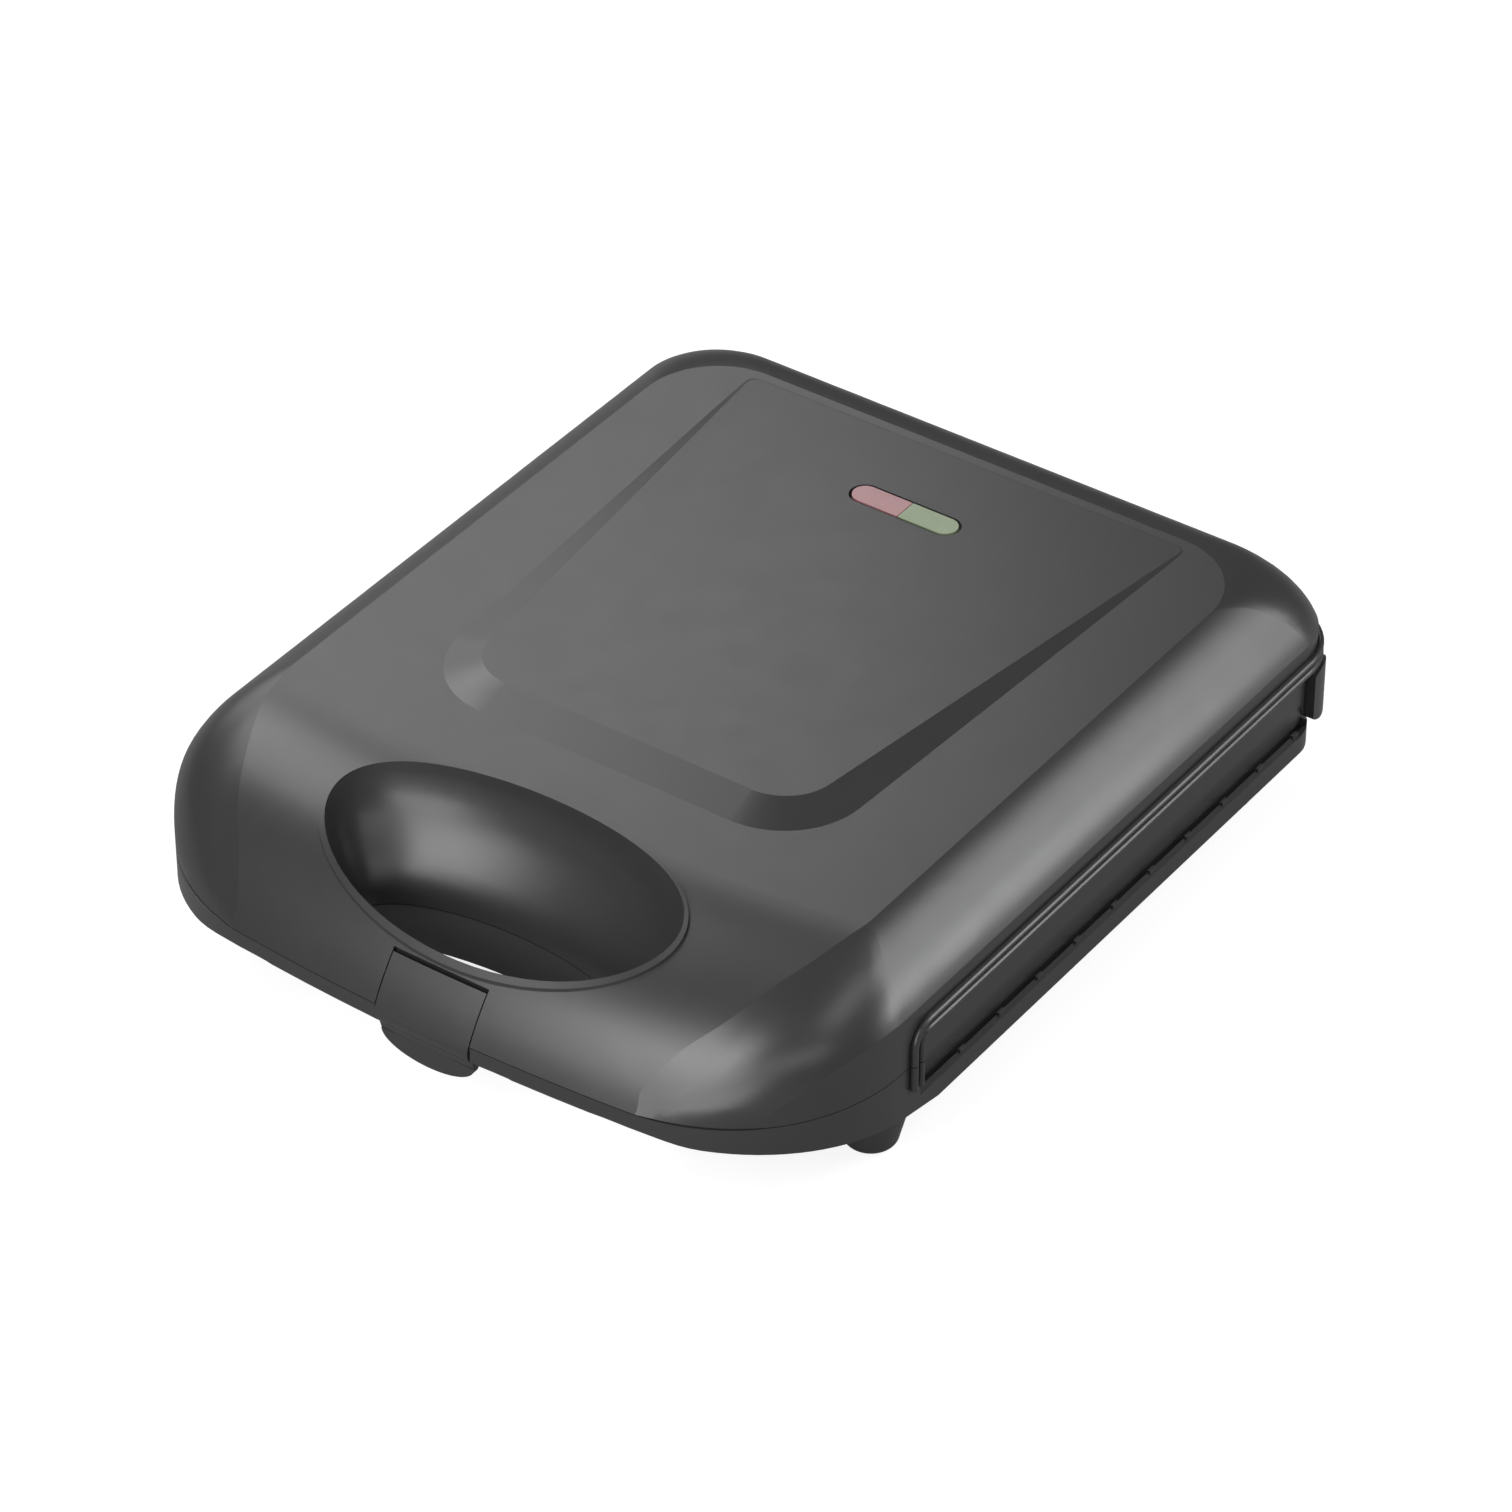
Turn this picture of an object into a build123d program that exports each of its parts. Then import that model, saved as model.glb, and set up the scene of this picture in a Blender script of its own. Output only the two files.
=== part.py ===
from build123d import *

import os
from math import acos, asin, atan2, cos, degrees, radians, sin, sqrt, tan

# Donut maker: a hinged clamshell with seven ring moulds, a front handle opening and a latch.
# Frame: X to the right, Y to the rear, Z up, origin on the table under the middle of the closed body.
# All sizes are in millimetres.

# ---- driving dimensions ----
HALF_W = 125.0          # half the width over the side walls
REAR_Y = 150.9          # rear wall of the lid
NOSE_Y = -152.4         # front of the lid at the parting line
FRONT_R = 760.0         # large radius of the front edge in plan
CORNER_R = 60.0         # front corners in plan
REAR_R = 22.0           # rear corners in plan
DECK_Z = 75.0           # flat top of the lid
PART_Z = 36.6           # lower edge of the lid
PART_GAP = 0.3          # hairline between lid and base
BASE_Z = 15.0           # lower edge of the base wall
WALL = 2.5              # moulded wall thickness

# ---- lid form ----
DOME_R = 72.0           # radius with which the deck rolls over the front
BAND_R = 37.3           # radius of the convex bands beside the deck
CREASE_TILT = 22.0      # tilt of the band where it leaves the deck, degrees
# levels of the bands that run round the lid: tilt from the deck's plane in degrees, then for the front
# corners the Y of the corner's centre, its radius, and the slope in plan of the front beside it in degrees
BANDS = (
    (14.0, -73.0, 16.0, 42.0),
    (22.0, -77.5, 20.0, 36.0),
    (32.0, -81.8, 24.0, 27.0),
    (42.0, -85.5, 28.5, 19.0),
    (52.0, -88.6, 33.5, 14.5),
    (62.0, -90.6, 38.8, 12.0),
    (72.0, -90.6, 45.2, 12.0),
    (82.0, -88.8, 53.0, 12.0),
    (90.0, -86.4, 60.0, 12.0),
)
BAND_FOOT = (30.0, -82.0, 70.0, 12.0)   # the same at this height, straight below the last level
WALL_TOP = 55.6         # sharp lower edge of the bands
WALL_TILT = acos((WALL_TOP - DECK_Z) / BAND_R + cos(radians(CREASE_TILT)))   # tilt there, radians
REAR_ROLL = 20.1        # radius with which the deck rolls over the rear
REAR_LEAN, OVER_DECK = 0.1, 6.4     # how the rear of the bands runs on under the roll and over the deck
DECK_CORNER_R = 27.0    # rear corners of the deck
SWING = 17.0            # half angle of the pieces turned about the front radius, degrees

# ---- raised wedge panel on the deck ----
PANEL_RISE = 3.7
PANEL_FRONT, PANEL_REAR = -51.4, 127.0
PANEL_HALF_FRONT, PANEL_HALF_REAR = 60.0, 81.0
PANEL_SKIRT_FRONT, PANEL_SKIRT_SIDE = 12.0, 11.8

# ---- handle opening ----
# levels of the opening: height, Y of its front wall, half width and half depth
BOWL_LEVELS = (
    (8.0, -139.5, 46.0, 17.6),
    (36.6, -139.5, 47.0, 18.0),
    (49.0, -139.5, 51.6, 20.9),
    (56.0, -140.4, 56.2, 23.9),
    (66.0, -140.6, 60.6, 26.6),
    (79.0, -140.6, 63.1, 27.7),
)
BOWL_WALL = 2.2
RIM_A, RIM_B, RIM_Y, RIM_RISE = 63.4, 28.9, -113.1, 0.9

# ---- double bead round the sides and rear ----
BEAD_R, BEAD_OUT, BEAD_PITCH = 1.15, 0.85, 3.2
BEAD_FRONT, BEAD_TOP, BEAD_BEND = -85.2, 49.4, 7.0     # middle of the outer bead
RING_FRONT, RING_TOP, RING_WIDTH = -86.2, 50.5, 5.5
RING_FOOT = 27.4

# ---- recessed side skirt of the lid and slot of the base ----
RECESS_IN = 2.3
RECESS_REAR = 134.9
SKIRT_IN, SKIRT_BOTTOM, SKIRT_RIDGE, SKIRT_LEAN = 4.4, 22.8, 31.5, 7.0
SLOT_FRONT = -78.4
SLOT_WALL_TOP = 22.0
LEDGE_Z = 20.0
NUB_PITCH, NUB_FIRST, NUB_COUNT = 20.4, -56.8, 10      # small nubs on the wall outside the slot
NUB_HALF, NUB_DEEP, NUB_HIGH = 1.5, 1.0, 0.8

# ---- hinge ----
HINGE_Y, HINGE_Z, BARREL_R = REAR_Y - 10.0, 32.0, 10.0
BARREL_HALF, EAR_IN = 95.5, 96.0
EAR_CORNER_R = 14.0     # rounding of the ears' outer ends in plan
TROUGH_R = 10.8         # room for the ears in the rear corners of the base
PIN_R, PIN_IN, PIN_OUT = 2.5, 80.0, 116.0
PIN_PLAY = 0.05
WALL_OVER_BARREL = 42.8 # lower edge of the lid's rear wall between the ears

# ---- base ----
LIP_R, LIP_Y, LIP_Z = 5.7, -147.4, 33.9     # nose of the base under the parting line
LIP_SLOPE = 11.1        # fall of the underside from the lip to the flat bottom, degrees
BASE_TOP = PART_Z - PART_GAP
BASE_BEVEL = 0.4
BASE_REAR, BASE_REAR_R = 142.9, 16.0
SLOT_IN, SLOT_WALL = 6.0, 2.2               # slot that the skirts hang in
HOLLOW_HALF, HOLLOW_FRONT, HOLLOW_REAR = 117.0, -82.0, 127.5
HOLLOW_LOW, HOLLOW_TOP = 17.0, 31.0
FLOOR_HALF, FLOOR_FRONT, FLOOR_REAR = 88.0, -66.0, 118.0
CORD_Z, CORD_HALF, CORD_LOW = 13.6, 14.0, 6.4
CORD_R, BUSH_R, BUSH_FLANGE_R = 3.7, 5.0, 6.6

# ---- cooking plates ----
PLATE_Y = 23.0
PLATE_X2, PLATE_Y2, PLATE_T, PLATE_CORNER = 212.0, 194.0, 2.6, 14.0
MOULD_PITCH, MOULD_MID, MOULD_HALF, MOULD_DEPTH = 72.0, 19.0, 9.0, 9.0
MOULD_WALL = 2.0
PLATE_PLAY = 0.3        # gap between a plate's edge and its shelf
LOWER_FACE, UPPER_FACE = 36.2, 36.75
BOSS_X, BOSS_Y, BOSS_R = 95.0, 85.0, 4.5
BOSS_END = 13.8         # from the plate's face to the end of its bosses

# ---- heating elements ----
ELEMENT_R, LOOP_R, LOOP_BEND = 3.25, 36.0, 8.0
ELEMENT_DEPTH = PLATE_T + ELEMENT_R
LEG_END = (89.0, 70.0)
TERMINAL_R, TERMINAL_L = 1.6, 9.0

# ---- reflector pans ----
PAN_T, PAN_X2, PAN_Y2, PAN_CORNER, PAN_EDGE = 0.8, 205.0, 187.0, 10.0, 5.5

# ---- indicator window ----
WINDOW_Y, WINDOW_L, WINDOW_W = 93.8, 40.0, 10.6
LENS_GAP, LENS_TOP, LENS_FLANGE_Z = 1.0, 75.85, 70.8
LAMP_X, LAMP_EAR_X = 10.0, 28.0

# ---- latch ----
LATCH_HALF, LATCH_SIDE_GAP = 16.8, 0.4
LATCH_TOP, LATCH_T = 50.1, 2.4
LATCH_PIN_Y, LATCH_PIN_Z, LATCH_PIN_R, LATCH_PIN_HALF = -144.2, 43.0, 1.25, 20.5
LATCH_HUB_R = 2.6
LATCH_FOOT, TAB_DROP = 26.5, 7.2
HOOK_HALF, HOOK_IN = 12.0, -146.4
LATCH_BLOCK = 22.0

# ---- inner frame of the lid and its screws ----
FRAME_TOP, SCREW_TOP = 41.6, 50.0
FRAME_SCREWS = [(side * 112.5, y) for side in (-1, 1) for y in (-62.0, 24.0, 108.0)]
COVER_SCREWS = [(side * 92.0, y) for side in (-1, 1) for y in (-50.0, 26.0, 92.0)]
FOOT_PLACES = [(side * x, y) for side in (-1, 1) for x, y in ((110.0, -83.7), (108.0, 112.0))]


# ---------------------------------------------------------------- helpers
def side_face(*edges):
    """A face drawn in the side view, with local x along +Y and local y along +Z."""
    return Plane.YZ * make_face(edges)


def both_ways(face, half):
    """The face extruded by the same length to both sides of its plane."""
    return extrude(face, half, both=True)


def slab(x, y, z):
    """A box given by its lowest and highest value on each axis."""
    return Pos(sum(x) / 2, sum(y) / 2, sum(z) / 2) * Box(x[1] - x[0], y[1] - y[0], z[1] - z[0])


def outline(half_w, nose, rear, corner_r, rear_r, front_r=FRONT_R):
    """Plan of the body: bowed front, large front corners, straight sides, small rear corners."""
    far = nose + front_r
    cx = half_w - corner_r
    cy = far - sqrt((front_r - corner_r) ** 2 - cx**2)
    turn = degrees(atan2(cy - far, cx))
    edges = [
        Line((half_w, cy), (half_w, rear - rear_r)),
        CenterArc((half_w - rear_r, rear - rear_r), rear_r, 0, 90),
        Line((half_w - rear_r, rear), (rear_r - half_w, rear)),
        CenterArc((rear_r - half_w, rear - rear_r), rear_r, 90, 90),
        Line((-half_w, rear - rear_r), (-half_w, cy)),
        CenterArc((-cx, cy), corner_r, 180, 0 - turn),
        CenterArc((0, far), front_r, 180 - turn, 2 * turn + 180),
        CenterArc((cx, cy), corner_r, turn, 0 - turn),
    ]
    return make_face(edges)


def body_plan(inset=0.0, low=0.0, high=0.0, taper=0.0):
    """The body's plan, set in by `inset`, extruded from one height to another."""
    half_w, nose, rear = HALF_W - inset, NOSE_Y + inset, REAR_Y - inset
    face = outline(half_w, nose, rear, CORNER_R - inset, REAR_R - inset, FRONT_R - inset)
    return extrude(Pos(0, 0, low) * face, high - low, taper=taper)


def about_front(face):
    """A side-view face turned about the far axis of the front radius."""
    axis = Axis((0, NOSE_Y + FRONT_R, 0), (0, 0, 1))
    return revolve(face, axis, 2 * SWING).rotate(axis, -SWING)


def dome_y(z, inset=0.0):
    """Y of the rolled front at a height, on the middle of the lid."""
    start = NOSE_Y + sqrt(DOME_R**2 - (PART_Z - DECK_Z + DOME_R) ** 2)
    return start - sqrt((DOME_R - inset) ** 2 - (z - DECK_Z + DOME_R) ** 2)


def dome(inset=0.0, foot=PART_Z - 4):
    """Everything under the deck and its rolled front."""
    start = dome_y(DECK_Z)
    centre_z = DECK_Z - DOME_R
    r = DOME_R - inset
    low = degrees(atan2(foot - centre_z, dome_y(foot, inset) - start))
    back = REAR_Y + 10
    top = DECK_Z - inset
    return about_front(
        side_face(
            CenterArc((start, centre_z), r, 90, low - 90),
            Line((dome_y(foot, inset), foot), (back, foot)),
            Line((back, foot), (back, top)),
            Line((back, top), (start, top)),
        )
    )


def band_section(half_w, corner_y, corner_r, slope, rear, rear_r):
    """Plan of the bands at one height, with a front of two straight lines that meet in the middle."""
    cx = half_w - corner_r
    tilt = radians(slope)
    end = (cx + corner_r * sin(tilt), corner_y - corner_r * cos(tilt))
    tip = (0, end[1] - end[0] * tan(tilt))
    edges = [
        Line((half_w, corner_y), (half_w, rear - rear_r)),
        CenterArc((half_w - rear_r, rear - rear_r), rear_r, 0, 90),
        Line((half_w - rear_r, rear), (rear_r - half_w, rear)),
        CenterArc((rear_r - half_w, rear - rear_r), rear_r, 90, 90),
        Line((-half_w, rear - rear_r), (-half_w, corner_y)),
        CenterArc((-cx, corner_y), corner_r, 180, 90 - slope),
        Line((-end[0], end[1]), tip),
        Line(tip, end),
        CenterArc((cx, corner_y), corner_r, slope - 90, 90 - slope),
    ]
    return make_face(edges)


def rear_at(z, inset=0.0):
    """Y of the rolled rear at a height, leaning outward under the roll and well inside over the deck."""
    height = z - DECK_Z + REAR_ROLL
    r = REAR_ROLL - inset
    if height < 0:
        return REAR_Y - inset - REAR_LEAN * height
    return REAR_Y - REAR_ROLL + sqrt(max(0.0, r**2 - height**2)) - OVER_DECK * max(0.0, height - r)


def pillow(inset=0.0, bands=BANDS, ruled=False):
    """The convex side, rear and corner bands as one lofted form."""
    deck_half = HALF_W - BAND_R * (sin(WALL_TILT) - sin(radians(CREASE_TILT)))
    centre_x = deck_half - BAND_R * sin(radians(CREASE_TILT))
    centre_z = DECK_Z - BAND_R * cos(radians(CREASE_TILT))
    sections = []
    for tilt, corner_y, corner_r, slope in bands:
        x = centre_x + (BAND_R - inset) * sin(radians(tilt))
        z = centre_z + (BAND_R - inset) * cos(radians(tilt))
        share = (degrees(WALL_TILT) - tilt) / (degrees(WALL_TILT) - CREASE_TILT)
        rear_r = REAR_R + (DECK_CORNER_R - REAR_R) * max(0.0, share)
        rear = rear_at(z, inset)
        section = band_section(x, corner_y, corner_r - inset, slope, rear, rear_r - inset)
        sections.append(Pos(0, 0, z) * section)
    foot, corner_y, corner_r, slope = BAND_FOOT
    x = centre_x + BAND_R - inset
    rear = rear_at(foot, inset)
    section = band_section(x, corner_y, corner_r - inset, slope, rear, REAR_R - inset)
    sections.append(Pos(0, 0, foot) * section)
    return loft(sections, ruled=ruled)


def rounded_plate(x2, y2, r, low, high, y=0.0, taper=0.0):
    """A rounded rectangle extruded between two heights."""
    return extrude(Pos(0, y, low) * RectangleRounded(x2, y2, r), high - low, taper=taper)


def elliptic(a, b, y, low, high):
    return extrude(Pos(0, y, low) * Ellipse(a, b), high - low)


def bowl(extra=0.0):
    """The handle opening: wide on the deck, narrow at the table side, with an upright front wall."""
    return loft([Pos(0, front + b, z) * Ellipse(a + extra, b + extra) for z, front, a, b in BOWL_LEVELS])


def bead(inset):
    """One round bead: up the side wall behind its front end, along the side and round the rear."""
    x, front, top, bend = HALF_W + BEAD_OUT, BEAD_FRONT + inset, BEAD_TOP - inset, BEAD_BEND - inset
    rise = bend * (1 - cos(radians(45)))
    centre_x, centre_y, r = HALF_W - REAR_R, REAR_Y - REAR_R, REAR_R + BEAD_OUT
    reach = r * cos(radians(45))
    halfway = (centre_x + reach, centre_y + reach, top)
    path = [
        Line((x, front, RING_FOOT), (x, front, top - bend)),
        ThreePointArc((x, front, top - bend), (x, front + rise, top - rise), (x, front + bend, top)),
        Line((x, front + bend, top), (x, centre_y, top)),
        ThreePointArc((x, centre_y, top), halfway, (centre_x, centre_y + r, top)),
        Line((centre_x, centre_y + r, top), (0, centre_y + r, top)),
    ]
    spine = Wire([edge for part in path for edge in part.edges()])
    return mirrored(sweep(Pos(x, front, RING_FOOT) * Circle(BEAD_R), path=spine))


def beads(low, high):
    """Two beads side by side between two heights."""
    field = slab((-HALF_W - 5, HALF_W + 5), (RING_FRONT - 5, REAR_Y + 5), (low, high))
    return [bead(inset) & field for inset in (0.0, BEAD_PITCH)]


def cylinder_x(r, x0, x1, y, z):
    return Pos(x0, y, z) * extrude(Plane.YZ * Circle(r), x1 - x0)


def cylinder_z(r, x, y, low, high):
    return Pos(x, y, low) * extrude(Circle(r), high - low)


def mirrored(shape):
    return shape + mirror(shape, Plane.YZ)


def solids_of(shapes):
    """Separate like solids as one compound."""
    return Compound(children=list(shapes))


def plate_room(low, high):
    """Room for a cooking plate with its play all round."""
    x2, y2 = PLATE_X2 + 2 * PLATE_PLAY, PLATE_Y2 + 2 * PLATE_PLAY
    return rounded_plate(x2, y2, PLATE_CORNER + PLATE_PLAY, low, high, PLATE_Y)


# ---------------------------------------------------------------- lid
def lid_form(rise=0.0):
    return body_plan(0, PART_Z, DECK_Z + 5) & dome(-rise) & pillow(0)


def wedge_panel():
    """Raised panel: a sloping top and broad sloping sides that run out at the rear."""
    slope = atan2(PANEL_RISE, PANEL_REAR - PANEL_FRONT)
    top = [
        (-PANEL_HALF_FRONT, PANEL_FRONT),
        (PANEL_HALF_FRONT, PANEL_FRONT),
        (PANEL_HALF_REAR, PANEL_REAR),
        (-PANEL_HALF_REAR, PANEL_REAR),
    ]
    side, front = PANEL_SKIRT_SIDE, PANEL_SKIRT_FRONT
    foot = [
        (-PANEL_HALF_FRONT - side, PANEL_FRONT - front),
        (PANEL_HALF_FRONT + side, PANEL_FRONT - front),
        (PANEL_HALF_REAR + 1.4, PANEL_REAR + 0.6),
        (-PANEL_HALF_REAR - 1.4, PANEL_REAR + 0.6),
    ]
    sheared = Plane(origin=(0, PANEL_REAR, DECK_Z + 0.05), x_dir=(1, 0, 0), z_dir=(0, sin(slope), cos(slope)))
    upper = Polygon(*[(x, (y - PANEL_REAR) / cos(slope)) for x, y in top], align=None)
    lower = Polygon(*foot, align=None)
    upper = sheared * rounded_corners(upper, 17.0, 3.0)
    lower = Pos(0, 0, DECK_Z - 0.1) * rounded_corners(lower, 28.0, 3.4)
    return loft([lower, upper], ruled=True)


def rounded_corners(face, front_r, rear_r):
    """Front and rear corners of a flat four-sided face rounded with their own radii."""
    corners = face.vertices().sort_by(Axis.Y)
    face = fillet(corners[:2], front_r)
    rest = [v for v in face.vertices() if v.Y > 100 or v.Y > -5 and abs(v.Y) < 1]
    return fillet(rest, rear_r)


def skirt():
    """Recessed side walls of the lid that hang into the slot of the base, leaning in below a ridge."""
    upper = body_plan(RECESS_IN, SKIRT_RIDGE, RING_TOP)
    lower_face = outline(
        HALF_W - RECESS_IN, NOSE_Y + RECESS_IN, REAR_Y - RECESS_IN, CORNER_R - RECESS_IN, REAR_R - RECESS_IN
    )
    lower = extrude(Pos(0, 0, SKIRT_RIDGE) * lower_face, SKIRT_BOTTOM - SKIRT_RIDGE, taper=SKIRT_LEAN)
    walls = upper + lower - body_plan(SKIRT_IN, SKIRT_BOTTOM - 1, RING_TOP + 1)
    rear = RECESS_REAR - 1.6
    field = slab((90, HALF_W + 5), (RING_FRONT + 2, rear), (PART_Z, RING_TOP - 1))
    field += slab((90, HALF_W + 5), (SLOT_FRONT + 0.8, rear), (SKIRT_BOTTOM - 1, PART_Z + 1))
    return walls & mirrored(field)


def ear_cheeks(top):
    """Solid rear corners of the lid over the hinge axis."""
    return mirrored(slab((EAR_IN, HALF_W + 5), (HINGE_Y - 7, REAR_Y + 5), (HINGE_Z, top)))


def hinge_ears():
    """Rounded ears about the hinge axis that carry the lid on the base."""
    plan = outline(HALF_W, NOSE_Y, REAR_Y, CORNER_R, EAR_CORNER_R)
    ears = mirrored(cylinder_x(BARREL_R, EAR_IN, HALF_W + 1, HINGE_Y, HINGE_Z)) & extrude(plan, DECK_Z)
    return ears + (ear_cheeks(PART_Z + 1) & body_plan(0, HINGE_Z, PART_Z + 1))


def lamp_window(low, high, gap=0.0):
    return extrude(Pos(0, WINDOW_Y, low) * SlotOverall(WINDOW_L - 2 * gap, WINDOW_W - 2 * gap), high - low)


def latch_pocket():
    """Room for the latch in the nose of the lid and base."""
    face = make_face(
        Polyline(
            (-170, 18), (-170, 54), (-143.0, 51.7), (-141.1, 50.6),
            (-141.1, 40.0), (-146.0, 34.0), (-149.2, 30.0), (-148.0, 18), close=True,
        ).edges()
    )
    return both_ways(Plane.YZ * face, LATCH_HALF + LATCH_SIDE_GAP)


def make_lid_cover():
    form = lid_form()
    form += wedge_panel()
    form += elliptic(RIM_A, RIM_B, RIM_Y, PART_Z, DECK_Z + 5) & lid_form(RIM_RISE)
    form += hinge_ears()
    hollow = body_plan(4.6, PART_Z - 1, DECK_Z - WALL) & dome(WALL) & pillow(WALL, BANDS[::2], ruled=True)
    hollow -= bowl(BOWL_WALL)
    hollow -= ear_cheeks(RING_TOP - 1)
    hollow -= slab((-LATCH_BLOCK, LATCH_BLOCK), (NOSE_Y, -134.0), (0, DECK_Z))
    for x, y in FRAME_SCREWS:
        hollow -= cylinder_z(4.0, x, y, FRAME_TOP, DECK_Z)
    for x in (-LAMP_EAR_X, LAMP_EAR_X):
        hollow -= cylinder_z(3.2, x, WINDOW_Y, LENS_FLANGE_Z, DECK_Z)
    lid = form - hollow - bowl()
    recess = body_plan(-4, 0, RING_TOP - RING_WIDTH) - body_plan(RECESS_IN, 0, RING_TOP - RING_WIDTH)
    field = slab((100, HALF_W + 5), (RING_FRONT + RING_WIDTH, RECESS_REAR), (0, RING_TOP - RING_WIDTH))
    lid -= recess & mirrored(field)
    lid += skirt()
    for one in beads(PART_Z, DECK_Z):
        lid += one
    lid -= slab((-EAR_IN, EAR_IN), (HINGE_Y - BARREL_R - 2, REAR_Y + 5), (0, WALL_OVER_BARREL))
    lid -= mirrored(cylinder_x(PIN_R + PIN_PLAY, EAR_IN - 5, PIN_OUT + 0.3, HINGE_Y, HINGE_Z))
    lid -= lamp_window(DECK_Z - 10, DECK_Z + 10)
    lid -= latch_pocket()
    lid -= cylinder_x(LATCH_PIN_R, -LATCH_PIN_HALF, LATCH_PIN_HALF, LATCH_PIN_Y, LATCH_PIN_Z)
    for x, y in FRAME_SCREWS:
        lid -= cylinder_z(1.5, x, y, FRAME_TOP - 1, SCREW_TOP)
    for x in (-LAMP_EAR_X, LAMP_EAR_X):
        lid -= cylinder_z(1.2, x, WINDOW_Y, LENS_FLANGE_Z - 1, LENS_FLANGE_Z + 3.2)
    return lid


def make_lid_frame():
    """Inner moulding under the lid: a flat deck round the upper plate with a shelf that the plate sits on."""
    frame = body_plan(4.8, PART_Z, FRAME_TOP) & dome(WALL + 0.2) & pillow(WALL + 0.2, BANDS[::2], ruled=True)
    frame -= slab((-200, 200), (HINGE_Y - BARREL_R - 2.2, REAR_Y), (0, DECK_Z))
    frame -= plate_room(PART_Z - 1, UPPER_FACE + PLATE_T)
    frame -= rounded_plate(PLATE_X2 - 5, PLATE_Y2 - 5, 12, PART_Z, FRAME_TOP + 1, PLATE_Y)
    frame -= bowl(BOWL_WALL + 0.25)
    frame -= slab((-LATCH_BLOCK - 0.2, LATCH_BLOCK + 0.2), (NOSE_Y - 5, -133.8), (0, DECK_Z))
    for x, y in FRAME_SCREWS:
        frame -= cylinder_z(1.7, x, y, PART_Z - 1, FRAME_TOP + 1)
        frame -= cylinder_z(3.3, x, y, PART_Z - 1, PART_Z + 2.2)
    return frame


# ---------------------------------------------------------------- cooking plates
def mould_centres():
    ring = [(MOULD_PITCH * cos(radians(a)), MOULD_PITCH * sin(radians(a))) for a in range(0, 360, 60)]
    return [(0.0, 0.0)] + ring


def mould_tool():
    """One ring mould below a plate face at Z 0: drafted walls, chamfers and a flat bottom."""
    inner, outer = MOULD_MID - MOULD_HALF, MOULD_MID + MOULD_HALF
    d = MOULD_DEPTH
    points = [
        (inner, 1.0), (inner, 0.0), (inner + 1.2, -0.5 * d), (inner + 5.0, -d),
        (outer - 5.0, -d), (outer - 1.2, -0.5 * d), (outer, 0.0), (outer, 1.0),
    ]
    profile = Plane.XZ * make_face(Polyline(*points, close=True).edges())
    return revolve(profile, Axis.Z)


def mould_pot():
    """Back of one mould: a drafted pot."""
    outer = MOULD_MID + MOULD_HALF + MOULD_WALL
    low = MOULD_DEPTH + MOULD_WALL
    points = [(0, -1), (outer, -1), (outer - 0.8, -5.5), (outer - 4.6, -low), (0, -low)]
    profile = Plane.XZ * make_face(Polyline(*points, close=True).edges())
    return revolve(profile, Axis.Z)


def make_plate():
    """Cooking plate with its face up at Z 0, centred on the origin."""
    plate = rounded_plate(PLATE_X2, PLATE_Y2, PLATE_CORNER, -PLATE_T, 0)
    pot, tool = mould_pot(), mould_tool()
    for x, y in mould_centres():
        plate += Pos(x, y, 0) * pot
    for x, y in mould_centres():
        plate -= Pos(x, y, 0) * tool
    for x, y in BOSSES:
        plate += cylinder_z(BOSS_R, x, y, -BOSS_END, -PLATE_T + 0.5)
        plate -= cylinder_z(1.5, x, y, -BOSS_END - 1, -PLATE_T - 1.5)
    cradle = Pos(0, 0, -ELEMENT_DEPTH) * Torus(LOOP_R, ELEMENT_R)
    for x, y in SADDLES:
        plate += slab((x - 4.0, x + 4.0), (y - 4.0, y + 4.0), (-ELEMENT_DEPTH, -PLATE_T + 0.5)) - cradle
    return plate


BOSSES = [(sx * BOSS_X, sy * BOSS_Y) for sx in (-1, 1) for sy in (-1, 1)]
SADDLES = [(LOOP_R * cos(radians(a)), LOOP_R * sin(radians(a))) for a in (210, 270, 330)]


def make_element():
    """Sheathed tube looped round the middle mould, with two legs that pass between the outer moulds."""
    z = -ELEMENT_DEPTH
    far = LOOP_R + LOOP_BEND
    lag = degrees(asin(LOOP_BEND / far))
    leave = 30 - lag
    reach = far * cos(radians(lag))
    centre = (far * cos(radians(leave)), far * sin(radians(leave)))
    out = (reach * cos(radians(30)), reach * sin(radians(30)))
    knee = (LEG_END[0], LEG_END[0] * tan(radians(30)))
    path = [
        CenterArc((0, 0), LOOP_R, 270, 90 + leave),
        CenterArc(centre, LOOP_BEND, 180 + leave, -(60 + leave)),
        FilletPolyline(out, knee, LEG_END, radius=10),
    ]
    spine = Pos(0, 0, z) * Wire([edge for part in path for edge in part.edges()])
    section = Plane(origin=(0, -LOOP_R, z), x_dir=(0, 1, 0), z_dir=(1, 0, 0)) * Circle(ELEMENT_R)
    half = sweep(section, path=spine)
    half += Pos(LEG_END[0], LEG_END[1], z) * extrude(Plane.XZ * Circle(TERMINAL_R), -TERMINAL_L)
    return mirrored(half)


def make_reflector():
    """Sheet pan behind a plate: a floor against the plate's bosses and upright walls."""
    low = -BOSS_END - PAN_T
    pan = rounded_plate(PAN_X2, PAN_Y2, PAN_CORNER, low, -PAN_EDGE)
    pan -= rounded_plate(PAN_X2 - 2 * PAN_T, PAN_Y2 - 2 * PAN_T, PAN_CORNER - PAN_T, -BOSS_END, 0)
    for x, y in BOSSES:
        pan -= cylinder_z(1.7, x, y, low - 1, 0)
    for side in (-1, 1):
        pan -= cylinder_z(3.0, side * LEG_END[0], 84.0, low - 1, 0)
    return pan


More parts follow.
